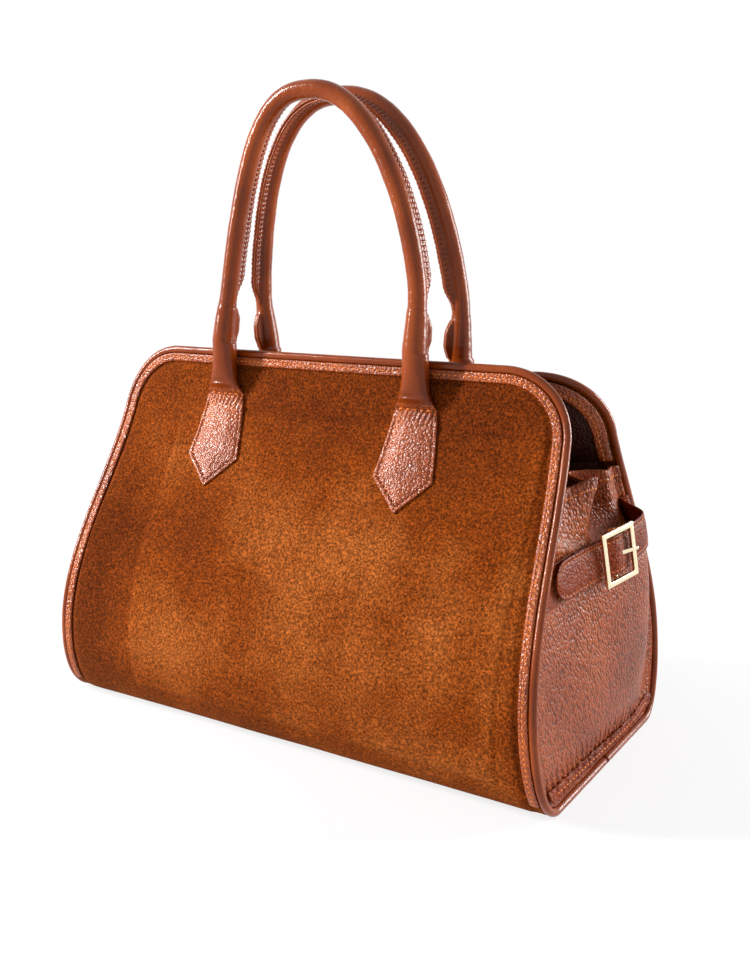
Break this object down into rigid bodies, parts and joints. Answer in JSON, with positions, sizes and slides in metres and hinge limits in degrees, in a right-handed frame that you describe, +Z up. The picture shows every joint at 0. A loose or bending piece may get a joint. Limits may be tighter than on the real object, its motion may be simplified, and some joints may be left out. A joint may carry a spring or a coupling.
{
  "type": "suede handbag",
  "caption": "Structured suede handbag with rolled leather handles on pointed tabs, piped edges, pleated leather gussets and a buckled strap across each gusset.",
  "frame": {"origin": "middle of the base, on the surface that the bag stands on", "axes": "+X to the bag's right end, +Y to its back, +Z up; the front panel faces -Y"},
  "size_m": [0.3781, 0.1952, 0.3941],
  "materials": {
    "suede": "brushed nap, matt, mottled brown",
    "leather": "pebbled cognac cowhide, satin",
    "gusset": "pebbled dark brown cowhide, satin",
    "board": "plain bonded leather board",
    "lining": "plain woven cotton",
    "cord": "twisted cord",
    "metal": "polished gold plate"
  },
  "bodies": {
    "bag": {"front_suede_panel": "suede", "back_suede_panel": "suede", "base_suede_panel": "suede", "front_stiffener_board": "board", "back_stiffener_board": "board", "base_board": "board", "lining": "lining", "front_inner_facing": "leather", "back_inner_facing": "leather", "front_edge_binding": "leather", "back_edge_binding": "leather", "front_inner_binding": "leather", "back_inner_binding": "leather", "front_piping": "leather", "back_piping": "leather", "right_gusset": "gusset", "left_gusset": "gusset", "right_base_binding": "leather", "left_base_binding": "leather", "right_buckle_chape": "gusset", "left_buckle_chape": "gusset", "right_strap_tongue": "gusset", "left_strap_tongue": "gusset", "front_right_handle_tab": "leather", "front_left_handle_tab": "leather", "back_right_handle_tab": "leather", "back_left_handle_tab": "leather"},
    "front_handle": {"front_handle_cover": "leather", "front_handle_core": "cord", "front_right_handle_sleeve": "leather", "front_left_handle_sleeve": "leather"},
    "back_handle": {"back_handle_cover": "leather", "back_handle_core": "cord", "back_right_handle_sleeve": "leather", "back_left_handle_sleeve": "leather"},
    "right_frame": {"right_buckle_frame": "metal"},
    "left_frame": {"left_buckle_frame": "metal"},
    "right_prong": {"right_buckle_prong": "metal"},
    "left_prong": {"left_buckle_prong": "metal"}
  },
  "joints": [
    {"name": "front_handle_tip", "type": "hinge", "parent": "bag", "child": "front_handle", "pos_m": [-0.003, -0.0402, 0.24], "axis": [1, 0, 0], "range_deg": [-2, 110]},
    {"name": "back_handle_tip", "type": "hinge", "parent": "bag", "child": "back_handle", "pos_m": [-0.003, 0.00489, 0.23543], "axis": [-1, 0, 0], "range_deg": [-2, 110]},
    {"name": "right_frame_tilt", "type": "hinge", "parent": "bag", "child": "right_frame", "pos_m": [0.17874, -0.01067, 0.13169], "axis": [0.1217, 0.1073, -0.9868], "range_deg": [-3, 3]},
    {"name": "left_frame_tilt", "type": "hinge", "parent": "bag", "child": "left_frame", "pos_m": [-0.17873, -0.01507, 0.13056], "axis": [0.0994, -0.0898, 0.991], "range_deg": [-3, 3]},
    {"name": "right_prong_swing", "type": "hinge", "parent": "right_frame", "child": "right_prong", "pos_m": [0.17874, -0.01067, 0.13169], "axis": [0.1217, 0.1073, -0.9868], "range_deg": [0, 20]},
    {"name": "left_prong_swing", "type": "hinge", "parent": "left_frame", "child": "left_prong", "pos_m": [-0.17873, -0.01507, 0.13056], "axis": [0.0994, -0.0898, 0.991], "range_deg": [0, 20]}
  ]
}
